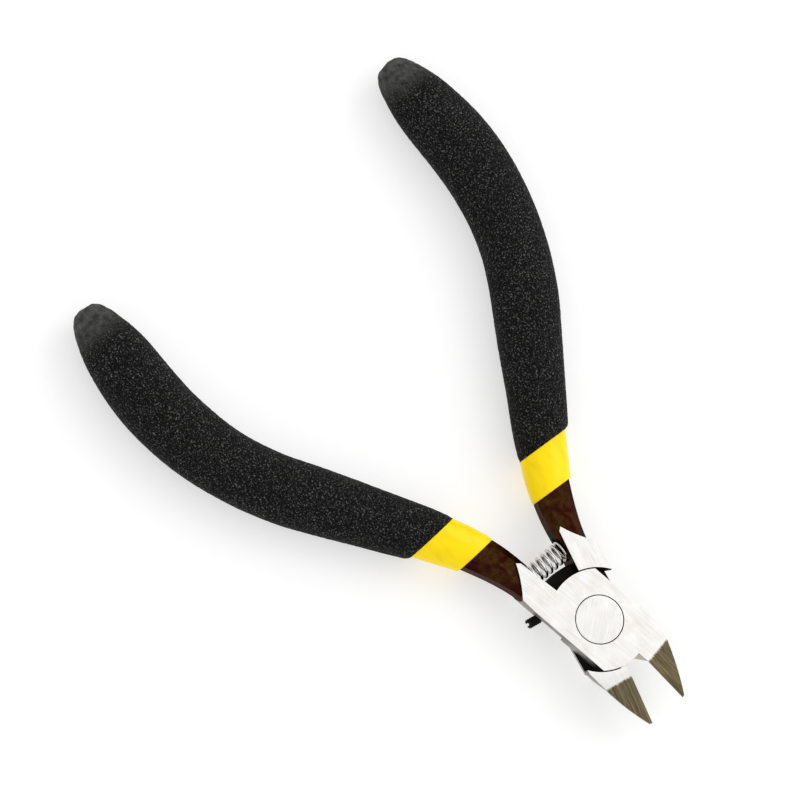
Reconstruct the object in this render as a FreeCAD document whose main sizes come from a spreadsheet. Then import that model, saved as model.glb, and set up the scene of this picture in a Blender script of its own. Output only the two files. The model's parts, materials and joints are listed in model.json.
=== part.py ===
import FreeCAD, Part

import math
import os

import Sketcher

V = FreeCAD.Vector
Z_AXIS = V(0, 0, 1)

# A small spring-loaded flush cutter with a lap joint, in millimetres.
# Origin: pivot axis, level with the back of the joint.  +X runs from the pivot to the jaw tips, +Z along
# the pivot axis to the front, and the handles leave towards -X.
# Each lever is drawn closed, as the rear lever lies (handle at +Y, jaw at -Y), mirrored for the front
# lever, and then turned open about the pivot by its Placement.

DIMENSIONS = (
    # alias, value, what it is
    ("open_angle", 20.5, "angle between the open and the closed pose"),
    ("joint_thickness", 7.1, "both lap plates together"),
    ("joint_half_width", 7.0, "pivot axis to the flat side of a lap plate"),
    ("lap_gap", 0.06, "running gap between the lap plates"),
    ("plate_radius", 9.7, "round ends of a lap plate"),
    ("shoulder_radius", 9.95, "recess that the other lever's plate turns in"),
    ("web_radius", 11.9, "rear lever's web, which closes the throat behind the lap plate"),
    ("web_side", 5.45, "tool axis to the web's free corner, in the closed tool"),
    ("web_clearance", 0.25, "gap round the web in the front lever"),
    ("inner_wall", 1.2, "tool axis to a lever's wall at the throat"),
    ("block_end", 13.4, "pivot to the start of the tang, on the outer side"),
    ("block_tip", 18.8, "pivot to the pointed end of the ground face"),
    ("jaw_base", 12.0, "pivot to the line where the ground jaw face starts"),
    ("jaw_tip", 21.7, "pivot to the jaw tips"),
    ("jaw_base_width", 5.7, "jaw width at its base"),
    ("jaw_tip_width", 0.55, "jaw width at its tip"),
    ("jaw_gap", 0.06, "gap between the closed cutting edges"),
    ("tip_front", 3.7, "height of the front jaw face at the tip"),
    ("tip_back", 2.5, "height of the back jaw face at the tip"),
    ("cutting_land", 0.3, "land under the cutting edge"),
    ("bevel_angle", 27.0, "bevel behind the cutting edge"),
    ("relief_angle", 24.0, "relief on the outer side of the jaw"),
    ("side_land", 1.4, "upright part of a lever's outer sides"),
    ("side_inset", 1.2, "draft of those sides at the back"),
    ("heel_relief", 12.0, "relief between the jaw side's draft and the jaw"),
    ("head_radius", 4.66, "rivet head and tail"),
    ("head_depth", 1.6, "thickness of the rivet head and tail"),
    ("head_recess", 0.08, "rivet head below the joint face"),
    ("shank_radius", 3.0, "rivet shank"),
    ("head_clearance", 0.09, "radial gap round the rivet head and tail"),
    ("running_clearance", 0.03, "radial gap round the rivet shank"),
    ("seat_radius", 2.55, "spring seat bore"),
    ("seat_depth", 1.1, "spring seat depth"),
    ("seat_x", 15.0, "pivot to the spring seats"),
    ("spring_radius", 1.93, "mean radius of the return spring"),
    ("spring_wire", 0.46, "spring wire diameter"),
    ("spring_turns", 6.0, "turns of the return spring"),
    ("spring_inset", 0.8, "seat floor to the nearest wire centre"),
    ("screw_radius", 0.95, "stop screw"),
    ("screw_length", 2.95, "stop screw"),
    ("screw_point", 0.5, "radius of the screw's inner end"),
    ("screw_height", 1.77, "height of the stop screw's axis"),
    ("screw_x", 5.86, "pivot to the screw, along the rear lap plate's side"),
    ("screw_inner", 8.25, "tool axis to the screw's inner end, square to that side"),
    ("slot_width", 0.5, "driver slot of the stop screw"),
    ("slot_depth", 0.5, "driver slot of the stop screw"),
    ("tang_start", 13.0, "pivot to the start of the handle's centre line"),
    ("tang_offset", 3.45, "tool axis to the start of that line"),
    ("waist_radius", 48.2, "handle centre line, bend behind the joint"),
    ("waist_turn", 23.65, "turn of that bend"),
    ("straight_length", 29.3, "handle centre line, straight stretch"),
    ("palm_radius", 56.5, "handle centre line, palm swell"),
    ("palm_turn", 37.4, "turn of the palm swell"),
    ("tang_width", 6.1, "steel tang behind the joint"),
    ("tang_thickness", 6.0, "steel tang behind the joint"),
    ("tang_length", 87.0, "steel tang along the centre line"),
    ("edge_slant", 7.0, "front edges of sleeve and grip, off square to the tool axis"),
    ("sleeve_front", 24.75, "pivot to the inner sleeve's front edge, on the tool axis"),
    ("sleeve_width", 9.4, "inner sleeve at the grip's front edge"),
    ("sleeve_thickness", 7.9, "inner sleeve at the grip's front edge"),
    ("sleeve_length", 93.0, "end of the inner sleeve along the centre line"),
    ("grip_front", 32.75, "pivot to the foam grip's front edge, on the tool axis"),
    ("grip_width", 13.6, "foam grip at the palm swell"),
    ("grip_flatness", 0.82, "foam grip's thickness over its width"),
    ("grip_length", 102.3, "end of the foam grip along the centre line"),
    ("nest_gap", 0.04, "gap between the nested tang, sleeve and grip"),
)

FRONT = -1.0
REAR = 1.0

# Sections along a handle: (share of the piece's length, share of its nominal width and thickness).
TANG_SECTIONS = ((0.0, 0.86, 1.0), (0.07, 1.0, 0.96), (0.14, 1.16, 0.9), (0.24, 1.12, 0.9),
                 (0.5, 0.9, 0.85), (0.8, 0.75, 0.7), (1.0, 0.55, 0.55))
SLEEVE_SECTIONS = ((0.04, 0.8, 0.92), (0.128, 0.87, 0.97), (0.218, 1.0, 1.0), (0.4, 0.94, 0.97),
                   (0.7, 0.88, 0.9), (0.95, 0.78, 0.8), (0.988, 0.6, 0.6), (1.0, 0.25, 0.25))
GRIP_SECTIONS = ((0.13, 0.68, 0.74), (0.21, 0.75, 0.8), (0.285, 0.82, 0.86), (0.36, 0.88, 0.91),
                 (0.432, 0.934, 0.95), (0.507, 0.955, 0.965), (0.6, 0.956, 0.97), (0.68, 0.98, 0.985),
                 (0.74, 1.0, 1.0), (0.8, 1.0, 1.0), (0.867, 0.956, 0.965), (0.912, 0.87, 0.89),
                 (0.942, 0.76, 0.79), (0.968, 0.63, 0.66), (0.985, 0.5, 0.53), (1.0, 0.2, 0.22))


def make_sheet(doc):
    """The driving dimensions, one aliased cell each."""
    sheet = doc.addObject("Spreadsheet::Sheet", "Params")
    for row, (alias, value, meaning) in enumerate(DIMENSIONS, start=1):
        sheet.set("A%d" % row, meaning)
        sheet.set("B%d" % row, str(value))
        sheet.setAlias("B%d" % row, alias)
    doc.recompute()
    return sheet


def read_sheet(sheet):
    return {alias: float(sheet.get(alias)) for alias, _, _ in DIMENSIONS}


def bind(obj, prop, expression):
    """Bind a property to an expression in which every alias is written with a leading dot."""
    obj.setExpression(prop, expression.replace(".@", ".").replace("@", "Params."))


# ---- sketches -------------------------------------------------------------------------------------------

def origin_plane(body, role):
    for feature in body.Origin.OriginFeatures:
        if feature.Role == role:
            return feature
    raise RuntimeError("no origin plane " + role)


def new_sketch(body, name, placement=None):
    """A sketch on the body's XY plane, or on a plane placed from it."""
    sketch = body.newObject("Sketcher::SketchObject", name)
    sketch.AttachmentSupport = (origin_plane(body, "XY_Plane"), [""])
    sketch.MapMode = "FlatFace"
    if placement is not None:
        sketch.AttachmentOffset = placement
    return sketch


def add_polygon(sketch, points):
    """Closed outline; a side given as a three-point tuple (start, middle, end) is an arc."""
    corners = [side[0] if isinstance(side, tuple) else side for side in points]
    first = sketch.GeometryCount
    for index, side in enumerate(points):
        following = corners[(index + 1) % len(corners)]
        if isinstance(side, tuple):
            sketch.addGeometry(Part.Arc(side[0], side[1], following), False)
        else:
            sketch.addGeometry(Part.LineSegment(side, following), False)
    for index, side in enumerate(points):
        _join(sketch, first, index, points, corners)


def _join(sketch, first, index, points, corners):
    """Tie the end of one side to the start of the next, wherever an arc keeps its ends."""
    here = first + index
    following = first + (index + 1) % len(points)
    corner = corners[(index + 1) % len(corners)]
    end = _nearest_end(sketch, here, corner)
    start = _nearest_end(sketch, following, corner)
    sketch.addConstraint(Sketcher.Constraint("Coincident", here, end, following, start))


def _nearest_end(sketch, index, corner):
    gap = [(sketch.getPoint(index, end) - corner).Length for end in (1, 2)]
    return 1 if gap[0] < gap[1] else 2


def add_circle(sketch, centre, radius_expression, radius):
    """A circle whose radius is bound to the sheet."""
    index = sketch.addGeometry(Part.Circle(centre, Z_AXIS, radius), False)
    sketch.addConstraint(Sketcher.Constraint("Radius", index, radius))
    bind(sketch, "Constraints[%d]" % (sketch.ConstraintCount - 1), radius_expression)


def pad(body, sketch, name, length_expression, reverse=False):
    feature = body.newObject("PartDesign::Pad", name)
    feature.Profile = sketch
    feature.Reversed = reverse
    bind(feature, "Length", length_expression)
    return feature


def pocket(doc, body, sketch, name, length_expression, reverse=False):
    """A pocket, checked to have removed material."""
    doc.recompute()
    before = body.Shape.Volume
    feature = body.newObject("PartDesign::Pocket", name)
    feature.Profile = sketch
    feature.Reversed = reverse
    bind(feature, "Length", length_expression)
    doc.recompute()
    if body.Shape.Volume > before - 1e-4:
        raise RuntimeError(name + " cut nothing")
    return feature


def frame_at(origin, x_dir, z_dir):
    """Placement of a plane whose local X and normal are given."""
    return FreeCAD.Placement(origin, FreeCAD.Rotation(x_dir, V(), z_dir, "ZXY"))


# ---- handle centre line ---------------------------------------------------------------------------------

def handle_frame(size, side, distance):
    """Point and direction on the handle's centre line, at a distance along it from the joint."""
    heading = math.radians(180.0)
    point = V(-size["tang_start"], side * size["tang_offset"], size["joint_thickness"] / 2)
    stretches = ((size["waist_radius"], -size["waist_turn"]),
                 (None, size["straight_length"]),
                 (size["palm_radius"], size["palm_turn"]))
    left = distance
    for radius, amount in stretches:
        length = amount if radius is None else radius * math.radians(abs(amount))
        step = min(left, length)
        if radius is None:
            turn = 0.0
            chord = step
        else:
            turn = math.copysign(step / radius, amount) * side
            chord = 2 * radius * math.sin(step / radius / 2)
        point = point + V(math.cos(heading + turn / 2), math.sin(heading + turn / 2), 0) * chord
        heading += turn
        left -= step
    direction = V(math.cos(heading), math.sin(heading), 0)
    return point + direction * left, direction


def section_placement(size, side, distance):
    """Plane square to the centre line, with local X across the handle and local Y up."""
    point, direction = handle_frame(size, side, distance)
    return frame_at(point, Z_AXIS.cross(direction), direction)


# ---- levers ---------------------------------------------------------------------------------------------

def lap_plate_outline(size):
    """Half-thickness plate: a disc with two flat sides."""
    radius = size["plate_radius"]
    flat = size["joint_half_width"]
    reach = math.sqrt(radius * radius - flat * flat)
    return [V(reach, flat, 0), (V(-reach, flat, 0), V(-radius, 0, 0)),
            V(-reach, -flat, 0), (V(reach, -flat, 0), V(radius, 0, 0))]


def handle_block_outline(size, side):
    """Full-thickness block between the lap plate and the tang."""
    flat = size["joint_half_width"]
    wall = size["inner_wall"]
    end = size["block_end"]
    tip = size["block_tip"]
    outer = V(-end, side * (flat - 0.15), 0)
    border_middle = V(-(end + tip) / 2 + 0.15, side * (flat + wall) / 2 + side * 0.25, 0)
    return [V(-4, side * flat, 0), V(-10.3, side * flat, 0), (outer, border_middle),
            V(-tip, side * (wall + 1.1), 0), V(-tip + 0.7, side * (wall + 0.5), 0),
            V(-size["shoulder_radius"], side * wall, 0), V(-4, side * wall, 0)]


def jaw_block_outline(size, side):
    """Full-thickness block in front of the lap plate, out to the jaw tip."""
    flat = size["joint_half_width"]
    base = size["jaw_base"]
    tip = size["jaw_tip"]
    edge = size["jaw_gap"] / 2
    width = size["jaw_base_width"]
    tip_width = size["jaw_tip_width"]
    middle = V((base + tip) / 2 - 0.6, -side * ((width + tip_width) / 2 + 0.6), 0)
    return [V(3, -side * flat, 0), V(8.0, -side * (flat - 0.1), 0),
            (V(base, -side * width, 0), middle), V(tip - 0.12, -side * tip_width, 0),
            V(tip, -side * edge, 0), V(3, -side * edge, 0)]


def outline_sketch(body, name, points, height_expression=None):
    sketch = new_sketch(body, name)
    add_polygon(sketch, points)
    if height_expression:
        bind(sketch, "AttachmentOffset.Base.z", height_expression)
    return sketch


def build_joint_plate(doc, body, size, side):
    """Lap plate and the two blocks on it, with the recess for the other lever's plate."""
    plate_start = "(@joint_thickness + @lap_gap) / 2" if side == FRONT else None
    plate = outline_sketch(body, "LapPlateSketch", lap_plate_outline(size), plate_start)
    pad(body, plate, "LapPlate", "(@joint_thickness - @lap_gap) / 2")
    handle_block = outline_sketch(body, "HandleBlockSketch", handle_block_outline(size, side))
    pad(body, handle_block, "HandleBlock", "@joint_thickness")
    jaw_block = outline_sketch(body, "JawBlockSketch", jaw_block_outline(size, side))
    pad(body, jaw_block, "JawBlock", "@joint_thickness")
    recess = new_sketch(body, "LapRecessSketch")
    add_circle(recess, V(), "@shoulder_radius", size["shoulder_radius"])
    if side == REAR:
        bind(recess, "AttachmentOffset.Base.z", "@joint_thickness")
    pocket(doc, body, recess, "LapRecess", "(@joint_thickness + @lap_gap) / 2", side == FRONT)


def web_outline(size, growth):
    """Sector behind the lap plate, from a lever's inner wall to under the other lever's handle block."""
    radius = size["web_radius"] + growth
    free = size["web_side"] + growth
    wall = size["inner_wall"]
    inside = size["plate_radius"] - 1.4
    middle = math.radians(192.0)
    return [V(-inside, wall, 0), (V(-math.sqrt(radius ** 2 - wall ** 2), wall, 0),
                                  V(radius * math.cos(middle), radius * math.sin(middle), 0)),
            V(-math.sqrt(radius ** 2 - free ** 2), -free, 0), V(-inside, -free + 0.75, 0)]


def build_web(doc, body, size, side):
    """The rear lever's web over the back half of the throat, and its recess in the front lever."""
    if side == REAR:
        web = outline_sketch(body, "WebSketch", web_outline(size, 0.0))
        pad(body, web, "Web", "(@joint_thickness - @lap_gap) / 2")
    else:
        recess = outline_sketch(body, "WebRecessSketch", web_outline(size, size["web_clearance"]))
        pocket(doc, body, recess, "WebRecess", "(@joint_thickness + @lap_gap) / 2", True)


def cut_jaw_faces(doc, body, size):
    """Ground faces that taper the jaw's thickness, front and back."""
    base = size["jaw_base"]
    past_tip = size["jaw_tip"] + 1.0
    reach = past_tip - base
    top = size["joint_thickness"]
    run = size["jaw_tip"] - base
    front_drop = (top - size["tip_front"]) / run * reach
    back_rise = size["tip_back"] / run * reach
    side_view = frame_at(V(0, 10, 0), V(1, 0, 0), V(0, -1, 0))
    front = new_sketch(body, "FrontFaceSketch", side_view)
    add_polygon(front, [V(base, top, 0), V(past_tip, top - front_drop, 0), V(past_tip, top + 1, 0),
                        V(base, top + 1, 0)])
    pocket(doc, body, front, "FrontFace", "@joint_half_width * 3", True)
    back = new_sketch(body, "BackFaceSketch", side_view)
    add_polygon(back, [V(base, 0, 0), V(past_tip, back_rise, 0), V(past_tip, -1, 0), V(base, -1, 0)])
    pocket(doc, body, back, "BackFace", "@joint_half_width * 3", True)


def cut_along_edge(doc, body, name, start, end, inward, land, angle):
    """Bevel below an edge: the cut leans inward, under the edge, by the angle."""
    along = (end - start).normalize()
    across = (inward - along * inward.dot(along)).normalize()
    up = across.cross(along)
    if up.z < 0:
        up = up * -1
    depth = 8.0
    lean = depth * math.tan(math.radians(angle))
    sketch = new_sketch(body, name + "Sketch", frame_at(start, across, along))
    rises = 1.0 if along.cross(across).dot(up) > 0 else -1.0
    outside = -3.0
    add_polygon(sketch, [V(0, -rises * land, 0), V(lean, -rises * (land + depth), 0),
                         V(outside, -rises * (land + depth), 0), V(outside, -rises * land, 0)])
    pocket(doc, body, sketch, name, "@jaw_tip - @jaw_base + 3", True)


def cut_jaw_bevels(doc, body, size, side):
    """Cutting bevel behind the inner edge and relief behind the outer edge."""
    top = size["joint_thickness"]
    edge = -side * size["jaw_gap"] / 2
    inner_start = V(size["jaw_base"], edge, top)
    inner_end = V(size["jaw_tip"], edge, size["tip_front"])
    outer_start = V(size["jaw_base"], -side * size["jaw_base_width"], top)
    outer_end = V(size["jaw_tip"], -side * size["jaw_tip_width"], size["tip_front"])
    cut_along_edge(doc, body, "CuttingBevel", inner_start, inner_end, V(0, -side, 0),
                   size["cutting_land"], size["bevel_angle"])
    cut_along_edge(doc, body, "OuterRelief", outer_start, outer_end, V(0, side, 0),
                   size["cutting_land"] * 1.5, size["relief_angle"])


def cut_side_draft(doc, body, size, name, outward, start, length_expression):
    """Draft on one outer side, below its upright land, from a place on the tool axis towards -X."""
    flat = size["joint_half_width"]
    top = size["joint_thickness"] - size["side_land"]
    drafted = flat - size["side_inset"]
    sketch = new_sketch(body, name + "Sketch", frame_at(V(start, 0, 0), V(0, 1, 0), V(1, 0, 0)))
    add_polygon(sketch, [V(outward * flat, top, 0), V(outward * drafted, 0, 0),
                         V(outward * drafted, -1, 0), V(outward * (flat + 2), -1, 0),
                         V(outward * (flat + 2), top, 0)])
    pocket(doc, body, sketch, name, length_expression)


def cut_side_drafts(doc, body, size, side):
    """Drafts on both outer sides, and the relief that carries the jaw side's draft into the jaw."""
    flat = size["joint_half_width"]
    top = size["joint_thickness"]
    cut_side_draft(doc, body, size, "HandleSideDraft", side, -3.0, "@block_end - 2")
    cut_side_draft(doc, body, size, "JawSideDraft", -side, 9.0, "@plate_radius * 2")
    heel = V(8.0, -side * (flat - 0.1), top)
    jaw = V(size["jaw_base"], -side * size["jaw_base_width"], top)
    cut_along_edge(doc, body, "HeelRelief", heel, jaw, V(0, side, 0), size["side_land"] / 2,
                   size["heel_relief"])


def bore_pivot(doc, body, size, side):
    """Rivet hole with a counterbore for the head or the tail."""
    hole = new_sketch(body, "PivotHoleSketch")
    radius = size["shank_radius"] + size["running_clearance"]
    add_circle(hole, V(), "@shank_radius + @running_clearance", radius)
    pocket(doc, body, hole, "PivotHole", "@joint_thickness", True)
    counterbore = new_sketch(body, "CounterboreSketch")
    radius = size["head_radius"] + size["head_clearance"]
    add_circle(counterbore, V(), "@head_radius + @head_clearance", radius)
    if side == FRONT:
        bind(counterbore, "AttachmentOffset.Base.z", "@joint_thickness")
    pocket(doc, body, counterbore, "Counterbore", "@head_depth + @head_recess + @lap_gap / 2",
           side == REAR)


def bore_spring_seat(doc, body, size, side):
    """Blind bore in the throat wall that holds one end of the return spring."""
    centre = V(-size["seat_x"], 0, size["joint_thickness"] / 2)
    seat = new_sketch(body, "SpringSeatSketch", frame_at(centre, V(1, 0, 0), V(0, side, 0)))
    add_circle(seat, V(), "@seat_radius", size["seat_radius"])
    pocket(doc, body, seat, "SpringSeat", "@inner_wall + @seat_depth", True)


def add_tang(body, size, side):
    """Forged tang, eight-sided, lofted along the handle's centre line."""
    sections = []
    for index, (along, wide, thick) in enumerate(TANG_SECTIONS):
        width = size["tang_width"] * wide / 2
        height = size["tang_thickness"] * thick / 2
        placement = section_placement(size, side, along * size["tang_length"])
        sketch = new_sketch(body, "TangSection%d" % index, placement)
        add_polygon(sketch, octagon(width, height))
        sections.append(sketch)
    loft = body.newObject("PartDesign::AdditiveLoft", "Tang")
    loft.Profile = sections[0]
    loft.Sections = sections[1:]
    return loft


def octagon(width, height):
    """Corner points of a rectangle with cut corners, from its half width and half height."""
    cut = 0.42
    near = 1.0 - cut
    shares = ((1, near), (near, 1), (-near, 1), (-1, near), (-1, -near), (-near, -1), (near, -1),
              (1, -near))
    return [V(width * a, height * b, 0) for a, b in shares]


def screw_frame(size):
    """Inner end and outward direction of the stop screw, in the open tool."""
    half_open = math.radians(size["open_angle"] / 2)
    turn = FreeCAD.Rotation(V(0, 0, -1), math.degrees(half_open))
    inner = turn.multVec(V(-size["screw_x"], -size["screw_inner"], size["screw_height"]))
    return inner, turn.multVec(V(0, -1, 0))


def bore_screw_hole(doc, body, size):
    """Hole for the stop screw, through the lap shoulder of the front lever."""
    to_lever = FreeCAD.Rotation(V(0, 0, -1), size["open_angle"] / 2)
    inner, outward = screw_frame(size)
    start = to_lever.multVec(inner - outward * 1.5)
    direction = to_lever.multVec(outward)
    sketch = new_sketch(body, "ScrewHoleSketch", frame_at(start, Z_AXIS, direction))
    add_circle(sketch, V(), "@screw_radius + @running_clearance",
               size["screw_radius"] + size["running_clearance"])
    pocket(doc, body, sketch, "ScrewHole", "@screw_length + 3", True)


def turn_open(obj, side):
    """Turn a piece that was drawn closed to its open pose."""
    axis = V(0, 0, -side)
    obj.Placement = FreeCAD.Placement(V(), FreeCAD.Rotation(axis, 1.0))
    bind(obj, "Placement.Rotation.Angle", "@open_angle / 2")


def new_body(doc, name):
    body = doc.addObject("PartDesign::Body", name.title().replace("_", ""))
    body.Label = name
    return body


def build_lever(doc, size, name, side):
    body = new_body(doc, name)
    build_joint_plate(doc, body, size, side)
    build_web(doc, body, size, side)
    bore_pivot(doc, body, size, side)
    cut_jaw_faces(doc, body, size)
    cut_jaw_bevels(doc, body, size, side)
    cut_side_drafts(doc, body, size, side)
    add_tang(body, size, side)
    bore_spring_seat(doc, body, size, side)
    if side == FRONT:
        bore_screw_hole(doc, body, size)
    turn_open(body, side)
    return body


# ---- pivot, spring and screw ----------------------------------------------------------------------------

def turn_profile(body, name, points):
    """Solid turned about the body's Z axis from a half outline drawn in the XZ plane."""
    sketch = new_sketch(body, name + "Sketch", frame_at(V(), V(1, 0, 0), V(0, -1, 0)))
    add_polygon(sketch, points)
    turned = body.newObject("PartDesign::Revolution", name)
    turned.Profile = sketch
    turned.ReferenceAxis = (sketch, ["V_Axis"])
    turned.Angle = 360.0


def build_rivet(doc, size):
    """Pivot rivet: flush head, shank and flush tail, turned in one piece."""
    body = new_body(doc, "pivot_rivet")
    head = size["head_radius"]
    shank = size["shank_radius"]
    low = size["head_recess"]
    high = size["joint_thickness"] - size["head_recess"]
    depth = size["head_depth"]
    edge = 0.12
    turn_profile(body, "Rivet", [V(0, low, 0), V(head - edge, low, 0), V(head, low + edge, 0),
                                 V(head, low + depth, 0), V(shank, low + depth, 0),
                                 V(shank, high - depth, 0), V(head, high - depth, 0),
                                 V(head, high - edge, 0), V(head - edge, high, 0), V(0, high, 0)])
    return body


def build_spring(doc, size):
    """Compression spring between the two seats, across the throat."""
    body = new_body(doc, "return_spring")
    half_open = math.radians(size["open_angle"] / 2)
    floor = size["inner_wall"] + size["seat_depth"]
    seat_x = size["seat_x"] * math.cos(half_open) - floor * math.sin(half_open)
    seat_y = size["seat_x"] * math.sin(half_open) + floor * math.cos(half_open)
    reach = seat_y - size["spring_inset"]
    sketch = new_sketch(body, "WireSketch")
    add_circle(sketch, V(size["spring_radius"], 0, 0), "@spring_wire / 2", size["spring_wire"] / 2)
    coil = body.newObject("PartDesign::AdditiveHelix", "Coil")
    coil.Profile = sketch
    coil.ReferenceAxis = (sketch, ["V_Axis"])
    coil.Mode = "height-turns-angle"
    coil.Height = 2 * reach
    bind(coil, "Turns", "@spring_turns")
    body.Placement = FreeCAD.Placement(V(-seat_x, -reach, size["joint_thickness"] / 2), FreeCAD.Rotation())
    return body


def build_stop_screw(doc, size):
    """Slotted grub screw with a coned inner end."""
    body = new_body(doc, "stop_screw")
    inner, outward = screw_frame(size)
    radius = size["screw_radius"]
    point = size["screw_point"]
    length = size["screw_length"]
    chamfer = 0.12
    turn_profile(body, "Screw", [V(0, 0, 0), V(point, 0, 0), V(radius, radius - point, 0),
                                 V(radius, length - chamfer, 0), V(radius - chamfer, length, 0),
                                 V(0, length, 0)])
    slot = new_sketch(body, "SlotSketch")
    bind(slot, "AttachmentOffset.Base.z", "@screw_length")
    half_slot = size["slot_width"] / 2
    past = size["screw_radius"] + 0.5
    add_polygon(slot, [V(-past, -half_slot, 0), V(past, -half_slot, 0), V(past, half_slot, 0),
                       V(-past, half_slot, 0)])
    pocket(doc, body, slot, "Slot", "@slot_depth")
    body.Placement = FreeCAD.Placement(inner, FreeCAD.Rotation(Z_AXIS, V(), outward, "ZXY"))
    return body


# ---- sleeves and grips ----------------------------------------------------------------------------------

def reach_along(size, along, length, spare):
    """Distance of a section along the handle; the last one of a hollow is moved on by the gap."""
    return along * size[length] + (spare if along == 1.0 else 0.0)


def loft_sections(doc, size, side, name, sections, width, thickness, length, spare=0.0):
    """Loft of ellipses along the handle, their radii bound to the sheet."""
    rings = []
    for index, (along, wide, thick) in enumerate(sections):
        ring = doc.addObject("Part::Ellipse", "%sRing%d" % (name, index))
        bind(ring, "MajorRadius", "%s * %g / 2 + %g" % (width, wide, spare))
        bind(ring, "MinorRadius", "%s * %g / 2 + %g" % (thickness, thick, spare))
        ring.Placement = section_placement(size, side, reach_along(size, along, length, spare))
        rings.append(ring)
    loft = doc.addObject("Part::Loft", name)
    loft.Sections = rings
    loft.Solid = True
    loft.Ruled = False
    return loft


def trimmer(doc, name, side, front_expression):
    """Block that takes away everything in front of a sleeve's or a grip's slanted front edge."""
    box = doc.addObject("Part::Box", name)
    reach = 60.0
    box.Length = reach
    box.Width = 2 * reach
    box.Height = reach
    box.Placement = FreeCAD.Placement(V(0, 0, -reach / 2), FreeCAD.Rotation(V(0, 0, side), 1.0))
    bind(box, "Placement.Rotation.Angle", "@edge_slant")
    bind(box, "Placement.Base.x", "%g * sin(@edge_slant) - %s" % (side * reach, front_expression))
    bind(box, "Placement.Base.y", "-%g * cos(@edge_slant)" % reach)
    return box


def cut(doc, name, base, tool):
    result = doc.addObject("Part::Cut", name)
    result.Base = base
    result.Tool = tool
    return result


def build_sleeve(doc, size, name, side):
    """Moulded inner sleeve: closed tube over the tang."""
    key = name.title().replace("_", "")
    outer = loft_sections(doc, size, side, key + "Outer", SLEEVE_SECTIONS, "@sleeve_width",
                          "@sleeve_thickness", "sleeve_length")
    trimmed = cut(doc, key + "Trimmed", outer, trimmer(doc, key + "Front", side, "@sleeve_front"))
    sleeve = cut(doc, key, trimmed, tang_core(doc, size, side, key + "Core"))
    sleeve.Label = name
    turn_open(sleeve, side)
    return sleeve


def tang_core(doc, size, side, name):
    """The tang's own shape, a little larger, that hollows the sleeve."""
    wires = []
    for along, wide, thick in TANG_SECTIONS:
        width = size["tang_width"] * wide / 2 + size["nest_gap"]
        height = size["tang_thickness"] * thick / 2 + size["nest_gap"]
        corners = octagon(width, height)
        wire = Part.makePolygon(corners + corners[:1])
        reach = reach_along(size, along, "tang_length", size["nest_gap"])
        wire.Placement = section_placement(size, side, reach)
        wires.append(wire)
    core = doc.addObject("Part::Feature", name)
    core.Shape = Part.makeLoft(wires, True, False)
    return core


def build_grip(doc, size, name, side):
    """Foam grip: closed tube over the inner sleeve."""
    key = name.title().replace("_", "")
    outer = loft_sections(doc, size, side, key + "Outer", GRIP_SECTIONS, "@grip_width",
                          "@grip_width * @grip_flatness", "grip_length")
    trimmed = cut(doc, key + "Trimmed", outer, trimmer(doc, key + "Front", side, "@grip_front"))
    core = loft_sections(doc, size, side, key + "Core", SLEEVE_SECTIONS, "@sleeve_width",
                         "@sleeve_thickness", "sleeve_length", size["nest_gap"])
    grip = cut(doc, key, trimmed, core)
    grip.Label = name
    turn_open(grip, side)
    return grip


# ---- check and export -----------------------------------------------------------------------------------

def check(doc, pieces):
    """Stop if any object failed or any piece has no valid single solid."""
    for obj in doc.Objects:
        if "Invalid" in obj.State or "Error" in obj.State:
            raise RuntimeError("failed object: " + obj.Name)
    for piece in pieces:
        shape = piece.Shape
        if shape.isNull() or not shape.isValid() or len(shape.Solids) != 1:
            raise RuntimeError("bad shape: %s, %d solids" % (piece.Label, len(shape.Solids)))
        print("%-20s volume %9.2f mm3" % (piece.Label, shape.Volume))


def main():
    doc = FreeCAD.newDocument("FlushCutter")
    sheet = make_sheet(doc)
    size = read_sheet(sheet)
    pieces = [build_rivet(doc, size), build_spring(doc, size), build_stop_screw(doc, size)]
    for prefix, side in (("front_", FRONT), ("rear_", REAR)):
        pieces.append(build_lever(doc, size, prefix + "lever", side))
        pieces.append(build_sleeve(doc, size, prefix + "inner_sleeve", side))
        pieces.append(build_grip(doc, size, prefix + "foam_grip", side))
    doc.recompute()
    check(doc, pieces)
    os.makedirs("parts", exist_ok=True)
    for piece in pieces:
        piece.Shape.exportStep("parts/%s.step" % piece.Label)


main()
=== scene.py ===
import json
import math

import bmesh
import bpy
import numpy as np
from mathutils import Matrix, Vector, noise
from mathutils.bvhtree import BVHTree


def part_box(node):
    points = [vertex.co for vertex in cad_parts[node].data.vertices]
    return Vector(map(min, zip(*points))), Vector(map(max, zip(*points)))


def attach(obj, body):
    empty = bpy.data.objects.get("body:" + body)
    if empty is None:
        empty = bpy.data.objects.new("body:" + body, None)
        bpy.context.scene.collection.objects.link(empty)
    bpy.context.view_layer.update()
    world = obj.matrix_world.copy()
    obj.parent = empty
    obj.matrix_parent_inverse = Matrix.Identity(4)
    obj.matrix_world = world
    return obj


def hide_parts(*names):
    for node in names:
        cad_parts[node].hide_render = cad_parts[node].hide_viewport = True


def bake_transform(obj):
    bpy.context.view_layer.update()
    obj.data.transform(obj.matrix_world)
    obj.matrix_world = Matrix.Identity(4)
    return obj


# A small flush cutter.  Everything is in metres in the frame's axes: the pivot is the Z axis, the jaws
# point to +X, and the tool is open.  "Closed" coordinates are a lever's own, turned back about the pivot.

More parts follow.
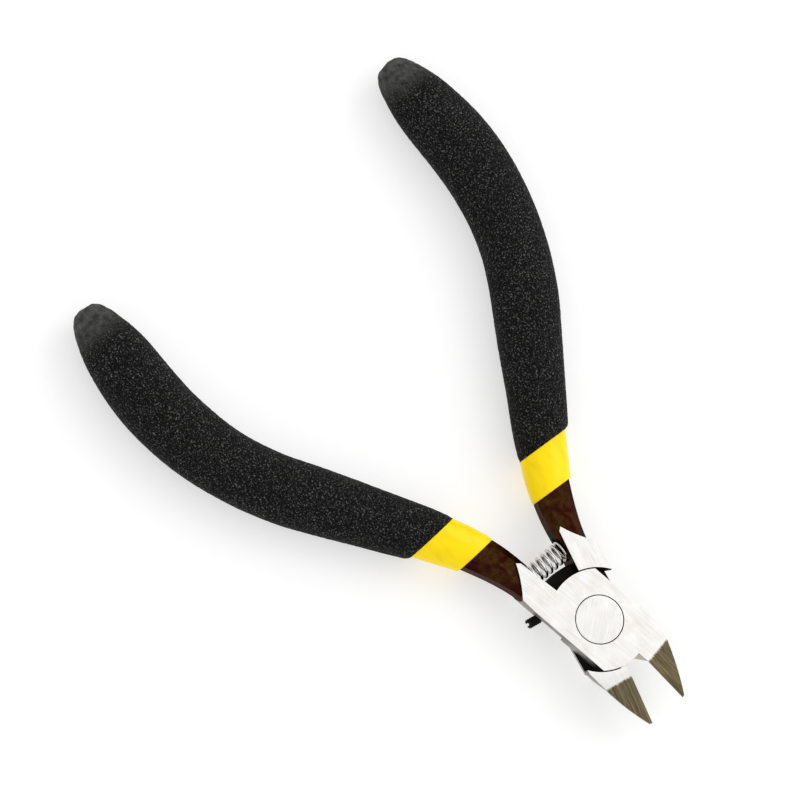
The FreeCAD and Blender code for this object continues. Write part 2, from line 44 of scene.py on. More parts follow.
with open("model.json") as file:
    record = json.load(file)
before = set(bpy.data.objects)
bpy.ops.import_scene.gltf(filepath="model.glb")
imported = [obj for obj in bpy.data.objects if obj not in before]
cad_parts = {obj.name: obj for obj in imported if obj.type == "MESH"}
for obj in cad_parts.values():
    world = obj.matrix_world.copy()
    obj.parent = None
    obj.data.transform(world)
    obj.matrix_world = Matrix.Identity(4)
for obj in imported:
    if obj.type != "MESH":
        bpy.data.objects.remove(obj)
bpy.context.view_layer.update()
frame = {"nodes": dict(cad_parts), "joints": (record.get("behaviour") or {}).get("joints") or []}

MM = 0.001
UP = Vector((0, 0, 1))
SIDES = {"front": -1, "rear": 1}
PIVOT = next(joint for joint in frame["joints"] if joint["name"] == "lever_pivot")
HALF_OPEN = math.radians(PIVOT["range_deg"][1]) / 2
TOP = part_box("front_lever")[1][2]
MIDDLE = TOP / 2
JAW_BASE = 12.0 * MM


# ---- frames and small geometry --------------------------------------------------------------------------

def to_closed(point, side):
    return Matrix.Rotation(side * HALF_OPEN, 3, "Z") @ Vector(point)


def to_open(point, side):
    return Matrix.Rotation(-side * HALF_OPEN, 3, "Z") @ Vector(point)


def smoothstep(value, low, high):
    share = min(max((value - low) / (high - low), 0.0), 1.0)
    return share * share * (3 - 2 * share)


def tree_of(node):
    mesh = frame["nodes"][node].data
    return BVHTree.FromPolygons([v.co for v in mesh.vertices], [p.vertices for p in mesh.polygons])


def link_mesh(name, mesh, materials):
    for material in materials:
        mesh.materials.append(material)
    obj = bpy.data.objects.new(name, mesh)
    bpy.context.scene.collection.objects.link(obj)
    return obj


def mesh_from(name, points, faces):
    mesh = bpy.data.meshes.new(name)
    mesh.from_pydata(points, [], faces)
    mesh.validate()
    mesh.shade_smooth()
    return mesh


def stitch(faces, first, second, count, flip=False):
    """Quads between two rings of point indices."""
    for i in range(count):
        j = (i + 1) % count
        quad = (first + i, first + j, second + j, second + i)
        faces.append(quad[::-1] if flip else quad)


def fan(faces, ring, pole, count, flip=False):
    for i in range(count):
        triangle = (ring + i, ring + (i + 1) % count, pole)
        faces.append(triangle[::-1] if flip else triangle)


# ---- materials ------------------------------------------------------------------------------------------

class Surface:
    """A node material built by short calls."""

    def __init__(self, name):
        self.material = bpy.data.materials.new(name)
        self.material.use_nodes = True
        self.tree = self.material.node_tree
        self.shader = self.tree.nodes["Principled BSDF"]
        self.place = self.tree.nodes.new("ShaderNodeTexCoord").outputs["Object"]

    def set(self, **values):
        for name, value in values.items():
            self.shader.inputs[name.replace("_", " ")].default_value = value

    def join(self, source, target):
        self.tree.links.new(source, target)

    def turned(self, angle, stretch):
        """Object coordinates turned about Z and scaled along each axis."""
        node = self.tree.nodes.new("ShaderNodeMapping")
        turn = self.tree.nodes.new("ShaderNodeMapping")
        turn.inputs["Rotation"].default_value = (0, 0, angle)
        node.inputs["Scale"].default_value = stretch
        self.join(self.place, turn.inputs["Vector"])
        self.join(turn.outputs["Vector"], node.inputs["Vector"])
        return node.outputs["Vector"]

    def noise(self, size, detail=3.0, rough=0.55, place=None, distortion=0.0):
        """Noise whose features measure about the given size in metres."""
        node = self.tree.nodes.new("ShaderNodeTexNoise")
        node.inputs["Scale"].default_value = 1.0 / size
        node.inputs["Detail"].default_value = detail
        node.inputs["Roughness"].default_value = rough
        node.inputs["Distortion"].default_value = distortion
        self.join(place or self.place, node.inputs["Vector"])
        return node.outputs["Fac"]

    def cells(self, size):
        """Distance to the middle of cells that measure about the given size in metres."""
        node = self.tree.nodes.new("ShaderNodeTexVoronoi")
        node.inputs["Scale"].default_value = 1.0 / size
        self.join(self.place, node.inputs["Vector"])
        return node.outputs["Distance"]

    def ramp(self, source, *stops):
        """Colour ramp through (position, grey or colour) stops."""
        node = self.tree.nodes.new("ShaderNodeValToRGB")
        elements = node.color_ramp.elements
        while len(elements) < len(stops):
            elements.new(0.5)
        for element, (position, colour) in zip(elements, stops):
            element.position = position
            element.color = (*colour, 1) if isinstance(colour, tuple) else (colour, colour, colour, 1)
        self.join(source, node.inputs["Fac"])
        return node.outputs["Color"]

    def mix(self, share, first, second, blend="MIX"):
        node = self.tree.nodes.new("ShaderNodeMix")
        node.data_type = "RGBA"
        node.blend_type = blend
        colours = [socket for socket in node.inputs if socket.type == "RGBA"]
        for source, socket in ((share, node.inputs["Factor"]), (first, colours[0]), (second, colours[1])):
            if isinstance(source, bpy.types.NodeSocket):
                self.join(source, socket)
            elif isinstance(source, tuple):
                socket.default_value = (*source, 1)
            else:
                socket.default_value = source
        return next(socket for socket in node.outputs if socket.type == "RGBA")

    def attribute(self, name):
        node = self.tree.nodes.new("ShaderNodeAttribute")
        node.attribute_name = name
        return node.outputs["Fac"]

    def along(self, angle, start, end):
        """From 0 to 1 between two places along the turned X axis."""
        parts = self.tree.nodes.new("ShaderNodeSeparateXYZ")
        span = self.tree.nodes.new("ShaderNodeMapRange")
        span.inputs["From Min"].default_value = start
        span.inputs["From Max"].default_value = end
        self.join(self.turned(angle, (1, 1, 1)), parts.inputs["Vector"])
        self.join(parts.outputs["X"], span.inputs["Value"])
        return span.outputs["Result"]

    def colour(self, source):
        self.join(source, self.shader.inputs["Base Color"])

    def roughness(self, source, low, high):
        self.join(self.ramp(source, (0.3, low), (0.7, high)), self.shader.inputs["Roughness"])

    def bump(self, *layers):
        """Bump layers of (height source, depth in metres)."""
        normal = None
        for source, depth in layers:
            node = self.tree.nodes.new("ShaderNodeBump")
            node.inputs["Distance"].default_value = depth
            self.join(source, node.inputs["Height"])
            if normal:
                self.join(normal, node.inputs["Normal"])
            normal = node.outputs["Normal"]
        self.join(normal, self.shader.inputs["Normal"])


def ground_steel(name, grain_angle):
    """Bright surface-ground steel: long fine scratches, faint cloudy patches and small stains."""
    steel = Surface(name)
    steel.set(Metallic=1.0)
    scratches = steel.noise(0.16 * MM, 4, 0.7, steel.turned(grain_angle, (0.03, 1, 1)))
    cross = steel.noise(0.12 * MM, 2, 0.6, steel.turned(grain_angle + 0.5, (0.04, 1, 1)))
    clouds = steel.noise(3.5 * MM, 3, 0.6)
    tone = steel.ramp(scratches, (0.28, (0.77, 0.76, 0.735)), (0.62, (0.90, 0.895, 0.88)))
    patches = steel.ramp(clouds, (0.3, (0.90, 0.87, 0.83)), (0.62, (1.0, 1.0, 1.0)))
    steel.colour(steel.mix(0.75, tone, patches, "MULTIPLY"))
    steel.roughness(scratches, 0.26, 0.42)
    steel.bump((scratches, 0.004 * MM), (cross, 0.003 * MM))
    return steel.material


def jaw_steel(name, grain_angle):
    """Darker, coarsely ground jaw face, its streaks running to the tip."""
    steel = Surface(name)
    steel.set(Metallic=1.0)
    streaks = steel.noise(0.22 * MM, 4, 0.75, steel.turned(grain_angle, (0.03, 1, 0.01)))
    wide = steel.noise(0.9 * MM, 3, 0.6, steel.turned(grain_angle, (0.05, 1, 0.02)))
    tone = steel.ramp(streaks, (0.3, (0.07, 0.052, 0.025)), (0.5, (0.155, 0.125, 0.07)),
                      (0.7, (0.33, 0.28, 0.18)))
    shade = steel.ramp(wide, (0.3, (0.72, 0.70, 0.66)), (0.7, (1.0, 1.0, 1.0)))
    worn = steel.mix(0.9, tone, shade, "MULTIPLY")
    ragged = steel.noise(0.30 * MM, 3, 0.7, steel.turned(grain_angle, (0.3, 1, 0.1)))
    fade = steel.along(grain_angle, JAW_BASE + 0.9 * MM, JAW_BASE)
    lip = steel.ramp(steel.mix(0.5, fade, ragged), (0.55, 0.0), (0.72, 1.0))
    steel.colour(steel.mix(lip, worn, (0.62, 0.58, 0.49)))
    steel.roughness(streaks, 0.30, 0.5)
    steel.bump((streaks, 0.012 * MM))
    return steel.material


def side_steel():
    """Satin forged flank, lightly tumbled and stained."""
    steel = Surface("forged_flank")
    steel.set(Metallic=1.0)
    pits = steel.noise(0.5 * MM, 4, 0.7)
    stain = steel.noise(3.0 * MM, 3, 0.6)
    tone = steel.ramp(stain, (0.3, (0.16, 0.14, 0.12)), (0.7, (0.42, 0.41, 0.39)))
    grit = steel.ramp(pits, (0.35, (0.7, 0.68, 0.65)), (0.6, (1.0, 1.0, 1.0)))
    steel.colour(steel.mix(0.8, tone, grit, "MULTIPLY"))
    steel.roughness(pits, 0.32, 0.52)
    steel.bump((pits, 0.02 * MM))
    return steel.material


def black_oxide_and_shade(name="black_oxide_and_shade"):
    """Oiled black finish inside the joint, so near black that it is also painted shade for the recesses and
    the throat.
    """
    black = Surface(name)
    black.set(Specular_IOR_Level=0.08)
    mottle = black.noise(0.8 * MM, 4, 0.65)
    # Near-black mottle: black oxide, and painted shade where it lines the hollows of the levers.
    black.colour(black.ramp(mottle, (0.3, (0.004, 0.0035, 0.003)), (0.8, (0.016, 0.014, 0.012))))
    black.roughness(mottle, 0.55, 0.8)
    black.bump((mottle, 0.012 * MM))
    return black.material


def tang_lacquer():
    """Dark brown to oxblood lacquer over forged steel."""
    lacquer = Surface("tang_lacquer")
    lacquer.set(Metallic=0.85, Coat_Weight=0.04, Coat_Roughness=0.15, Specular_Tint=(0.4, 0.22, 0.12, 1))
    pools = lacquer.noise(3.2 * MM, 4, 0.6, distortion=0.6)
    mottle = lacquer.noise(0.9 * MM, 4, 0.65)
    brown = lacquer.ramp(mottle, (0.3, (0.020, 0.0075, 0.0015)), (0.7, (0.066, 0.027, 0.005)))
    tone = lacquer.mix(lacquer.ramp(pools, (0.42, 0.0), (0.6, 1.0)), brown, (0.024, 0.0018, 0.0010))
    lacquer.colour(tone)
    lacquer.roughness(mottle, 0.24, 0.40)
    lacquer.bump((pools, 0.10 * MM), (mottle, 0.02 * MM))
    return lacquer.material


def yellow_vinyl():
    """Glossy moulded sleeve: faint flow streaks and fine scuffs."""
    vinyl = Surface("yellow_vinyl")
    vinyl.set(Coat_Weight=0.05, Coat_Roughness=0.08, Specular_IOR_Level=0.15)
    flow = vinyl.noise(1.6 * MM, 3, 0.5, vinyl.turned(0, (0.3, 1, 1)))
    scuffs = vinyl.noise(0.25 * MM, 4, 0.7)
    vinyl.colour(vinyl.ramp(flow, (0.25, (0.93, 0.62, 0.001)), (0.5, (0.97, 0.71, 0.001)),
                            (0.8, (0.98, 0.75, 0.002))))
    vinyl.roughness(scuffs, 0.24, 0.36)
    vinyl.bump((flow, 0.008 * MM), (scuffs, 0.002 * MM))
    return vinyl.material


def black_foam():
    """Fine closed-cell foam, pale where cell walls catch the light, and fused smooth at the tip."""
    foam = Surface("black_foam")
    grain = foam.noise(0.30 * MM, 3, 0.6)
    cells = foam.cells(0.42 * MM)
    tip = foam.attribute("fused")
    speckle = foam.ramp(grain, (0.44, (0.002, 0.002, 0.0018)), (0.56, (0.008, 0.0085, 0.008)),
                        (0.68, (0.17, 0.175, 0.165)))
    pores = foam.ramp(cells, (0.05, (1.0, 1.0, 1.0)), (0.75, (0.42, 0.42, 0.42)))
    # At the fused tip the colour turns a lighter mottled grey: partly the smooth skin's own tone, partly a
    # painted sheen on it.
    skin = foam.ramp(foam.noise(1.1 * MM, 4, 0.6), (0.3, (0.020, 0.020, 0.018)),
                     (0.7, (0.085, 0.085, 0.078)))
    foam.colour(foam.mix(tip, foam.mix(1.0, speckle, pores, "MULTIPLY"), skin))
    foam.set(Specular_IOR_Level=0.12)
    foam.roughness(grain, 0.9, 0.62)
    foam.bump((grain, 0.10 * MM), (cells, 0.06 * MM))
    return foam.material


def spring_chrome():
    """Bright drawn wire with fine draw lines."""
    wire = Surface("spring_wire")
    wire.set(Metallic=1.0)
    lines = wire.noise(0.08 * MM, 3, 0.6, wire.turned(0, (1, 0.2, 1)))
    wire.colour(wire.ramp(lines, (0.3, (0.36, 0.34, 0.31)), (0.65, (0.86, 0.85, 0.83))))
    wire.roughness(lines, 0.12, 0.26)
    wire.bump((lines, 0.002 * MM))
    return wire.material


# ---- levers ---------------------------------------------------------------------------------------------

GROUND, JAW, FLANK, BLACK_AND_SHADE, TANG = range(5)
TANG_FRONT = 13.4 * MM
FLANK_WIDTH = 4.6 * MM
THROAT_WIDTH = 1.25 * MM
THROAT_END = 18.2 * MM
SQUARE = 0.99


def lever_finish(face, side):
    """Which finish a face of a lever has, from where it is and where it looks."""
    centre = to_closed(face.calc_center_median(), side)
    normal = to_closed(face.normal, side)
    flat = abs(normal.z) > SQUARE
    outer = min(centre.z, TOP - centre.z) < 0.05 * MM
    if flat and outer:
        return GROUND
    if centre.x > JAW_BASE - 0.3 * MM:
        return JAW
    # Throat walls stay out of the tang lacquer and take the near-black finish: painted shade for the deep,
    # dim throat.
    throat_in_shade = abs(normal.y) > SQUARE and abs(centre.y) < THROAT_WIDTH and centre.x > -THROAT_END
    if centre.x < -TANG_FRONT and not throat_in_shade:
        return TANG
    if not flat and abs(centre.y) > FLANK_WIDTH and abs(normal.y) > 0.5 and normal.y * centre.y > 0:
        return FLANK
    if centre.x > 2 * MM and abs(centre.y) < 0.2 * MM:
        return JAW
    # All other faces (recesses, lap plates, inner walls) take the near-black finish: black oxide, and
    # painted shade for these hollows.
    return BLACK_AND_SHADE


def make_lever(body, side, finishes):
    """The CAD lever with a finish on each face and softened edges."""
    node = body + "_lever"
    shape = bmesh.new()
    shape.from_mesh(frame["nodes"][node].data)
    bmesh.ops.remove_doubles(shape, verts=shape.verts, dist=0.002 * MM)
    bmesh.ops.dissolve_limit(shape, angle_limit=math.radians(0.5), verts=shape.verts, edges=shape.edges)
    for face in shape.faces:
        face.material_index = lever_finish(face, side)
        face.smooth = True
    mesh = bpy.data.meshes.new(node + "_steel")
    shape.to_mesh(mesh)
    shape.free()
    lever = link_mesh(node + "_steel", mesh, finishes)
    bevel = lever.modifiers.new("edges", "BEVEL")
    bevel.width = 0.07 * MM
    bevel.segments = 2
    bevel.limit_method = "ANGLE"
    bevel.angle_limit = math.radians(28)
    normals = lever.modifiers.new("normals", "WEIGHTED_NORMAL")
    normals.keep_sharp = True
    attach(lever, body)
    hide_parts(node)


# ---- handles: sleeves and foam grips --------------------------------------------------------------------

LIP_STEPS = 5
FIRST_DEPTH = 0.015 * MM
TURN_DEPTH = 12 * MM
INNER_SPACING = 1.5 * MM
LEAST_WALL = 0.05 * MM
RAY_REACH = 14 * MM
AXIS_END = 3 * MM


class Handle:
    """The curved axis of one handle, read from its foam grip, in closed coordinates."""

    def __init__(self, body, side):
        self.side = side
        points = np.array([to_closed(v.co, side) for v in frame["nodes"][body + "_foam_grip"].data.vertices])
        self.tip = points[:, 0].min()
        self.front = points[:, 0].max()
        stations = np.linspace(self.tip + AXIS_END, self.front - 2 * MM, 40)
        middles = []
        for x in stations:
            near = points[abs(points[:, 0] - x) < 1.2 * MM]
            middles.append((near[:, 1].min() + near[:, 1].max()) / 2)
        self.curve = np.polynomial.Polynomial.fit(stations, middles, 6)
        self.slope = self.curve.deriv()

    def point(self, x):
        inside = min(max(x, self.tip + AXIS_END), self.front)
        y = self.curve(inside) + self.slope(inside) * (x - inside)
        return Vector((x, y, MIDDLE))

    def tangent(self, x):
        inside = min(max(x, self.tip + AXIS_END), self.front)
        return Vector((1, self.slope(inside), 0)).normalized()


def front_plane(node, side):
    """Point and normal of a sleeve's or a grip's slanted front face, in closed coordinates."""
    mesh = frame["nodes"][node].data
    area = 0.0
    centre = Vector()
    normal = Vector()
    limit = max(to_closed(v.co, side).x for v in mesh.vertices) - 2.5 * MM
    for face in mesh.polygons:
        where = to_closed(face.center, side)
        facing = to_closed(face.normal, side)
        if facing.x > 0.97 and abs(facing.z) < 0.02 and where.x > limit:
            area += face.area
            centre += where * face.area
            normal += facing * face.area
    return centre / area, normal.normalized()


def cast_ring(tree, origin, normal, count, side, outward):
    """Where rays in a plane meet a surface, from the middle outwards or from outside inwards."""
    across = UP.cross(normal).normalized()
    ring = []
    for i in range(count):
        angle = 2 * math.pi * i / count
        ray = across * math.cos(angle) + UP * math.sin(angle)
        start = origin if outward else origin + ray * RAY_REACH
        aim = ray if outward else -ray
        hit = tree.ray_cast(to_open(start, side), to_open(aim, side), RAY_REACH)[0]
        ring.append(None if hit is None else to_closed(hit, side))
    return ring


class Shell:
    """Rings cast on a hollow CAD shape at depths behind its slanted front face, in closed coordinates."""

    def __init__(self, node, handle, count):
        centre, self.front_normal = front_plane(node, handle.side)
        self.handle = handle
        self.count = count
        self.tree = tree_of(node)
        self.tip = min(to_closed(v.co, handle.side).x for v in frame["nodes"][node].data.vertices)
        self.start = centre.x
        for _ in range(6):
            middle = handle.point(self.start)
            self.start -= (middle - centre).dot(self.front_normal) / self.front_normal.x
        self.length = self.start - self.tip

    def ring(self, depth, outward):
        """Middle and points of a ring: along the front face at the front, square to the handle behind."""
        x = self.start - max(depth, FIRST_DEPTH)
        turn = smoothstep(depth, 0, TURN_DEPTH)
        normal = self.front_normal.lerp(self.handle.tangent(x), turn).normalized()
        middle = self.handle.point(x)
        return middle, cast_ring(self.tree, middle, normal, self.count, self.handle.side, outward)

    def outer(self, spacing, lip):
        """Rings on the skin, drawn in at the front to round the lip."""
        depths = [lip * (1 - math.cos(math.pi / 2 * step / LIP_STEPS)) for step in range(LIP_STEPS)]
        depths += list(np.linspace(lip, self.length - 0.5 * spacing, int(self.length / spacing)))
        rings = []
        for depth in depths:
            middle, ring = self.ring(depth, False)
            if None in ring:
                continue
            if depth < lip:
                inset = lip - math.sqrt(max(lip * lip - (lip - depth) ** 2, 0.0))
                ring = [p + (middle - p).normalized() * inset for p in ring]
            rings.append(ring)
        return rings

    def inner(self):
        """Rings on the inner wall, as deep as the shape is hollow."""
        rings = []
        for depth in np.arange(FIRST_DEPTH, self.length, INNER_SPACING):
            ring = self.ring(depth, True)[1]
            skin = self.ring(depth, False)[1]
            if None in ring or None in skin:
                break
            if min((a - b).length for a, b in zip(ring, skin)) < LEAST_WALL:
                break
            rings.append(ring)
        return rings


def keep_wall(outer, inner, start):
    """Hold the rounded lip outside the inner wall."""
    limit = [(p - start).length + LEAST_WALL for p in inner[0]]
    for ring in outer[:LIP_STEPS + 1]:
        middle = sum(ring, Vector()) / len(ring)
        for i, p in enumerate(ring):
            radius = (p - middle).length
            if radius < limit[i]:
                ring[i] = middle + (p - middle) * (limit[i] / radius)


def handle_shell(node, handle, spacing, count, lip):
    """Clean tube over a hollow CAD shape: points, faces, and how many points are on the skin.

    The skin's points come first.  The last two points close the skin's end and the inner wall's end.
    """
    shell = Shell(node, handle, count)
    outer = shell.outer(spacing, lip)
    inner = shell.inner()
    keep_wall(outer, inner, handle.point(shell.start))
    points = [point for ring in outer + inner for point in ring]
    faces = []
    skin = len(outer) * count
    for index in range(len(outer) - 1):
        stitch(faces, index * count, (index + 1) * count, count, True)
    for index in range(len(inner) - 1):
        stitch(faces, skin + index * count, skin + (index + 1) * count, count)
    stitch(faces, 0, skin, count)
    points.append(Vector((shell.tip, handle.point(shell.tip).y, MIDDLE)))
    fan(faces, skin - count, len(points) - 1, count, True)
    points.append(sum(inner[-1], Vector()) / count)
    fan(faces, skin + (len(inner) - 1) * count, len(points) - 1, count)
    return points, faces, skin


def make_sleeve(body, side, handle, vinyl):
    node = body + "_inner_sleeve"
    points, faces, _ = handle_shell(node, handle, spacing=0.8 * MM, count=72, lip=0.35 * MM)
    mesh = mesh_from(body + "_sleeve", [to_open(p, side) for p in points], faces)
    sleeve = link_mesh(body + "_sleeve", mesh, [vinyl])
    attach(sleeve, body)
    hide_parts(node)


def foam_relief(point, fused):
    """Height of the foam's surface: soft dents, grain, and creases where the tip is fused."""
    dents = noise.noise(point / (6 * MM)) * 0.07 * MM
    coarse = noise.noise(point / (0.55 * MM))
    fine = noise.noise(point / (0.28 * MM) + UP)
    grain = (coarse + 0.6 * fine) * 0.055 * MM
    across = Vector((point.x / (3.5 * MM), point.y / (0.8 * MM), point.z / (0.8 * MM)))
    creases = (abs(noise.noise(across)) - 0.25) * 0.28 * MM
    return dents + grain * (1 - 0.8 * fused) + creases * fused


def make_grip(body, side, handle, foam):
    node = body + "_foam_grip"
    points, faces, skin = handle_shell(node, handle, spacing=0.27 * MM, count=150, lip=0.9 * MM)
    mesh = mesh_from(body + "_grip", points, faces)
    fused = mesh.attributes.new("fused", "FLOAT", "POINT")
    normals = [v.normal.copy() for v in mesh.vertices]
    apex = handle.point(handle.tip)
    skin_end = len(points) - 2
    for index, vertex in enumerate(mesh.vertices):
        share = 1 - smoothstep((vertex.co - apex).length, 4.0 * MM, 10.0 * MM)
        fused.data[index].value = share
        if index < skin or index == skin_end:
            ease = smoothstep(handle.front - vertex.co.x, 0, 0.8 * MM)
            vertex.co += normals[index] * foam_relief(vertex.co, share) * ease
    mesh.transform(Matrix.Rotation(-side * HALF_OPEN, 4, "Z"))
    grip = link_mesh(body + "_grip", mesh, [foam])
    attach(grip, body)
    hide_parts(node)


# ---- rivet, spring and stop screw -----------------------------------------------------------------------

def rivet_profile(head, low, high):
    """Radius and height from the middle of the head's face, over both rims, to the middle of the tail's."""
    shank = 3.0 * MM
    depth = 1.6 * MM
    rim = 0.16 * MM
    rim_steps = 6
    face_shares = (0.3, 0.7, 0.9)
    upper = []
    for step in range(rim_steps + 1):
        angle = math.pi / 2 * step / rim_steps
        upper.append((head - rim + rim * math.sin(angle), high - rim + rim * math.cos(angle)))
    upper += [(head, high - depth), (shank, high - depth)]
    lower = [(radius, low + high - z) for radius, z in reversed(upper)]
    head_face = [(head * share, high) for share in face_shares]
    tail_face = [(head * share, low) for share in reversed(face_shares)]
    return head_face + upper + lower + tail_face


def make_rivet(finishes):
    """Rivet turned from a profile with softened rims, its two ends ground with the levers."""
    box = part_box("pivot_rivet")
    low, high = box[0][2], box[1][2]
    profile = rivet_profile(box[1][0], low, high)
    count = 128
    points = []
    faces = []
    for radius, z in profile:
        for i in range(count):
            angle = 2 * math.pi * i / count
            points.append(Vector((radius * math.cos(angle), radius * math.sin(angle), z)))
    for index in range(len(profile) - 1):
        stitch(faces, index * count, (index + 1) * count, count, True)
    points.append(Vector((0, 0, high)))
    fan(faces, 0, len(points) - 1, count)
    points.append(Vector((0, 0, low)))
    fan(faces, (len(profile) - 1) * count, len(points) - 1, count, True)
    mesh = mesh_from("rivet", points, faces)
    # Only the flat ends are ground; the rounded rims and sides take the near-black finish, which puts a dark
    # ring round the head as painted shade for the groove round the rivet.
    for face in mesh.polygons:
        face.material_index = 0 if abs(face.normal.z) > 0.98 else 1
    rivet = link_mesh("rivet", mesh, finishes)
    mesh.set_sharp_from_angle(angle=math.radians(50))
    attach(rivet, "front")
    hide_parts("pivot_rivet")


def coil_path(centre, radius, wire, start, length):
    """Centre line of a coil along Y whose end turns are closed."""
    turns = 7.5
    closed_turns = 0.9
    closed_pitch = 2.15 * wire
    first_angle = math.radians(200)
    per_turn = 40
    live = length - 2 * closed_turns * closed_pitch
    path = []
    for step in range(int(turns * per_turn) + 1):
        turn = step / per_turn
        if turn < closed_turns:
            along = turn * closed_pitch
        elif turn > turns - closed_turns:
            along = length - (turns - turn) * closed_pitch
        else:
            share = (turn - closed_turns) / (turns - 2 * closed_turns)
            along = closed_turns * closed_pitch + share * live
        angle = 2 * math.pi * turn + first_angle
        path.append(centre + Vector((radius * math.cos(angle), start + along, radius * math.sin(angle))))
    return path


def wire_tube(path, centre, wire):
    """Points and faces of a round wire along a coil's path."""
    around = 12
    last = len(path) - 1
    points = []
    faces = []
    for index, here in enumerate(path):
        tangent = (path[min(index + 1, last)] - path[max(index - 1, 0)]).normalized()
        side = Vector((here.x - centre.x, 0, here.z - centre.z)).normalized()
        normal = tangent.cross(side).normalized()
        for i in range(around):
            angle = 2 * math.pi * i / around
            points.append(here + side * wire * math.cos(angle) + normal * wire * math.sin(angle))
    for index in range(last):
        stitch(faces, index * around, (index + 1) * around, around)
    for end, ring, flip in ((path[0], 0, True), (path[-1], last * around, False)):
        points.append(end)
        fan(faces, ring, len(points) - 1, around, flip)
    return points, faces


def make_spring(chrome):
    """Compression spring between the levers, built as one fixed coil; the real spring shortens as they
    close.
    """
    low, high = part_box("return_spring")
    wire = 0.26 * MM
    radius = (high[0] - low[0]) / 2 - wire
    centre = Vector(((low[0] + high[0]) / 2, 0, (low[2] + high[2]) / 2))
    start, end = low[1] + wire, high[1] - wire
    points, faces = wire_tube(coil_path(centre, radius, wire, start, end - start), centre, wire)
    spring = link_mesh("coil_spring", mesh_from("coil_spring", points, faces), [chrome])
    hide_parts("return_spring")
    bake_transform(spring)


def thread_shape(middle, axis, across, low, high):
    """Points and faces of a threaded shank with a coned inner end and a softened outer rim."""
    radius = 0.95 * MM
    pitch = 0.4 * MM
    thread = 0.11 * MM
    cone = 0.45 * MM
    rim = 0.15 * MM
    rows_per_pitch = 8
    count = 48
    rows = int((high - low) / (pitch / rows_per_pitch))
    points = []
    faces = []
    for row in range(rows + 1):
        height = (high - low) * row / rows
        taper = min(radius, radius - cone + height, radius - rim + (high - low - height))
        for i in range(count):
            angle = 2 * math.pi * i / count
            phase = (height / pitch - i / count) % 1.0
            tooth = abs(2 * phase - 1)
            local = radius - thread * (1 - tooth)
            ray = across * math.cos(angle) + UP * math.sin(angle)
            points.append(middle + axis * (low + height) + ray * min(local, taper))
    for row in range(rows):
        stitch(faces, row * count, (row + 1) * count, count, True)
    points.append(middle + axis * low)
    fan(faces, 0, len(points) - 1, count)
    points.append(middle + axis * high)
    fan(faces, rows * count, len(points) - 1, count, True)
    return points, faces


def cut_slot(screw, place):
    """Cut a driver slot where the placed unit cube is."""
    cutter_mesh = bpy.data.meshes.new("slot_cutter")
    shape = bmesh.new()
    bmesh.ops.create_cube(shape, size=1.0)
    shape.to_mesh(cutter_mesh)
    shape.free()
    cutter = link_mesh("slot_cutter", cutter_mesh, [])
    cutter.matrix_world = place
    slot = screw.modifiers.new("slot", "BOOLEAN")
    slot.object = cutter
    slot.solver = "EXACT"
    bpy.context.view_layer.update()
    final = bpy.data.meshes.new_from_object(screw.evaluated_get(bpy.context.evaluated_depsgraph_get()))
    screw.modifiers.clear()
    screw.data = final
    final.set_sharp_from_angle(angle=math.radians(40))
    bpy.data.objects.remove(cutter)


def make_stop_screw(black):
    """Slotted grub screw with a rolled thread."""
    joint = next(j for j in frame["joints"] if j["name"] == "stop_screw_slide")
    axis = Vector(joint["axis"]).normalized()
    vertices = [v.co for v in frame["nodes"]["stop_screw"].data.vertices]
    along = [v.dot(axis) for v in vertices]
    low, high = min(along), max(along)
    middle = sum((v - axis * v.dot(axis) for v in vertices), Vector()) / len(vertices)
    across = axis.cross(UP).normalized()
    mesh = mesh_from("threaded_stop_screw", *thread_shape(middle, axis, across, low, high))
    screw = link_mesh("threaded_stop_screw", mesh, [black])
    turn = Matrix((across, axis.cross(across), axis)).transposed().to_4x4()
    slot_size = Matrix.Diagonal((0.5 * MM, 4 * MM, 1.0 * MM, 1))
    cut_slot(screw, Matrix.Translation(middle + axis * high) @ turn @ slot_size)
    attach(screw, "screw")
    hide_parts("stop_screw")


# ---- stage ----------------------------------------------------------------------------------------------

def make_floor():
    """Pale paper under the grips, which gives off a little light so that shadows stay faint."""
    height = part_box("front_foam_grip")[0][2]
    extent = 3.0
    corners = [(-extent, -extent, height), (extent, -extent, height),
               (extent, extent, height), (-extent, extent, height)]
    mesh = mesh_from("floor", corners, [(0, 1, 2, 3)])
    paper = Surface("pale_paper")
    fibre = paper.noise(2 * MM, 2)
    paper.colour(paper.ramp(fibre, (0.2, (0.52, 0.52, 0.52)), (0.8, (0.54, 0.54, 0.54))))
    paper.set(Roughness=0.9, Specular_IOR_Level=0.1, Emission_Color=(1, 1, 1, 1), Emission_Strength=0.5)
    floor = link_mesh("floor", mesh, [paper.material])


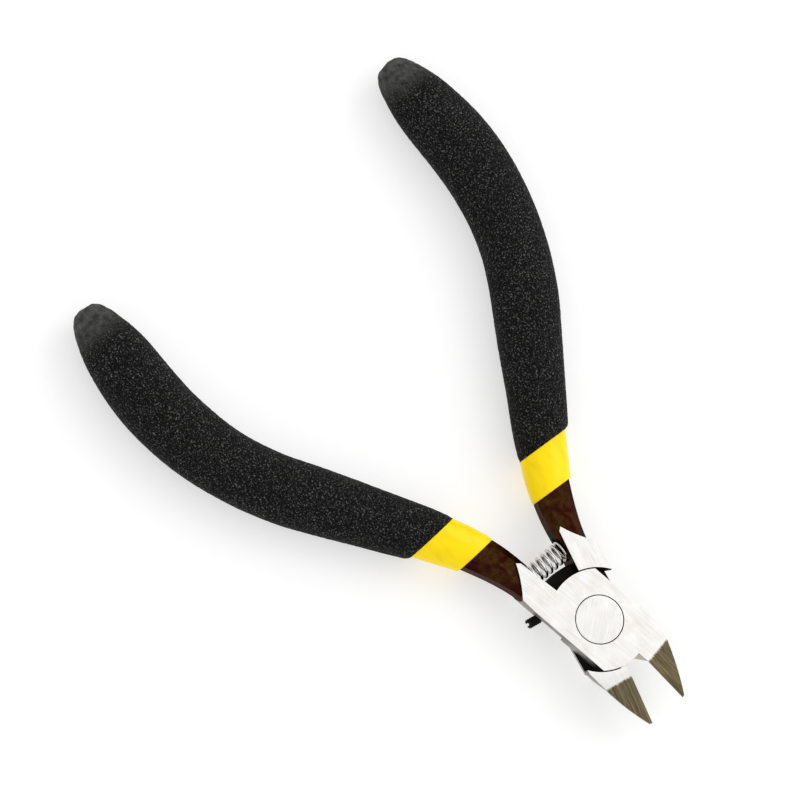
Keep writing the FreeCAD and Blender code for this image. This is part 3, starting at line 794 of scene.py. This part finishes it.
def view_axes():
    """Right, up and back of the camera: steeply above the front, and rolled."""
    elevation = math.radians(74)
    roll = math.radians(50.5)
    back = Vector((0, -math.cos(elevation), math.sin(elevation)))
    flat_right = Vector((1, 0, 0))
    flat_up = back.cross(flat_right)
    right = flat_right * math.cos(roll) + flat_up * math.sin(roll)
    up = flat_up * math.cos(roll) - flat_right * math.sin(roll)
    return right, up, back


def make_camera():
    right, up, back = view_axes()
    frame_width = 149.6 * MM
    distance = 1.5
    left_of_pivot = 37.34 * MM
    above_pivot = 41.05 * MM
    aim = Vector((0, 0, TOP)) - right * left_of_pivot + up * above_pivot
    lens = bpy.data.cameras.new("camera")
    lens.sensor_width = 36
    lens.lens = lens.sensor_width * distance / frame_width
    camera = bpy.data.objects.new("camera", lens)
    camera.matrix_world = Matrix((right, up, back)).transposed().to_4x4()
    camera.matrix_world.translation = aim + back * distance
    bpy.context.scene.collection.objects.link(camera)
    bpy.context.scene.camera = camera


def make_light():
    """White surroundings and one large lamp at the upper right."""
    world = bpy.data.worlds.new("studio")
    world.use_nodes = True
    background = world.node_tree.nodes["Background"]
    background.inputs["Color"].default_value = (1.0, 1.0, 1.0, 1)
    background.inputs["Strength"].default_value = 0.92
    bpy.context.scene.world = world
    right, up, back = view_axes()
    direction = right + up * 0.8 + back * 0.6
    distance = 1.2
    light = bpy.data.lights.new("key", "AREA")
    light.size = 0.9
    light.energy = 4.5
    lamp = bpy.data.objects.new("key", light)
    lamp.location = direction.normalized() * distance
    lamp.rotation_euler = direction.to_track_quat("Z", "Y").to_euler()
    bpy.context.scene.collection.objects.link(lamp)
    bpy.context.scene.view_settings.view_transform = "Standard"


def main():
    make_camera()
    make_light()
    make_floor()
    black = black_oxide_and_shade()
    flank = side_steel()
    lacquer = tang_lacquer()
    vinyl = yellow_vinyl()
    foam = black_foam()
    for body, side in SIDES.items():
        grain = side * HALF_OPEN
        finishes = [ground_steel(body + "_ground", grain), jaw_steel(body + "_jaw", grain), flank, black,
                    lacquer]
        make_lever(body, side, finishes)
        handle = Handle(body, side)
        make_sleeve(body, side, handle, vinyl)
        make_grip(body, side, handle, foam)
    make_rivet([ground_steel("rivet_ground", 0.9), black])
    make_spring(spring_chrome())
    make_stop_screw(black_oxide_and_shade("blackened_screw"))


main()
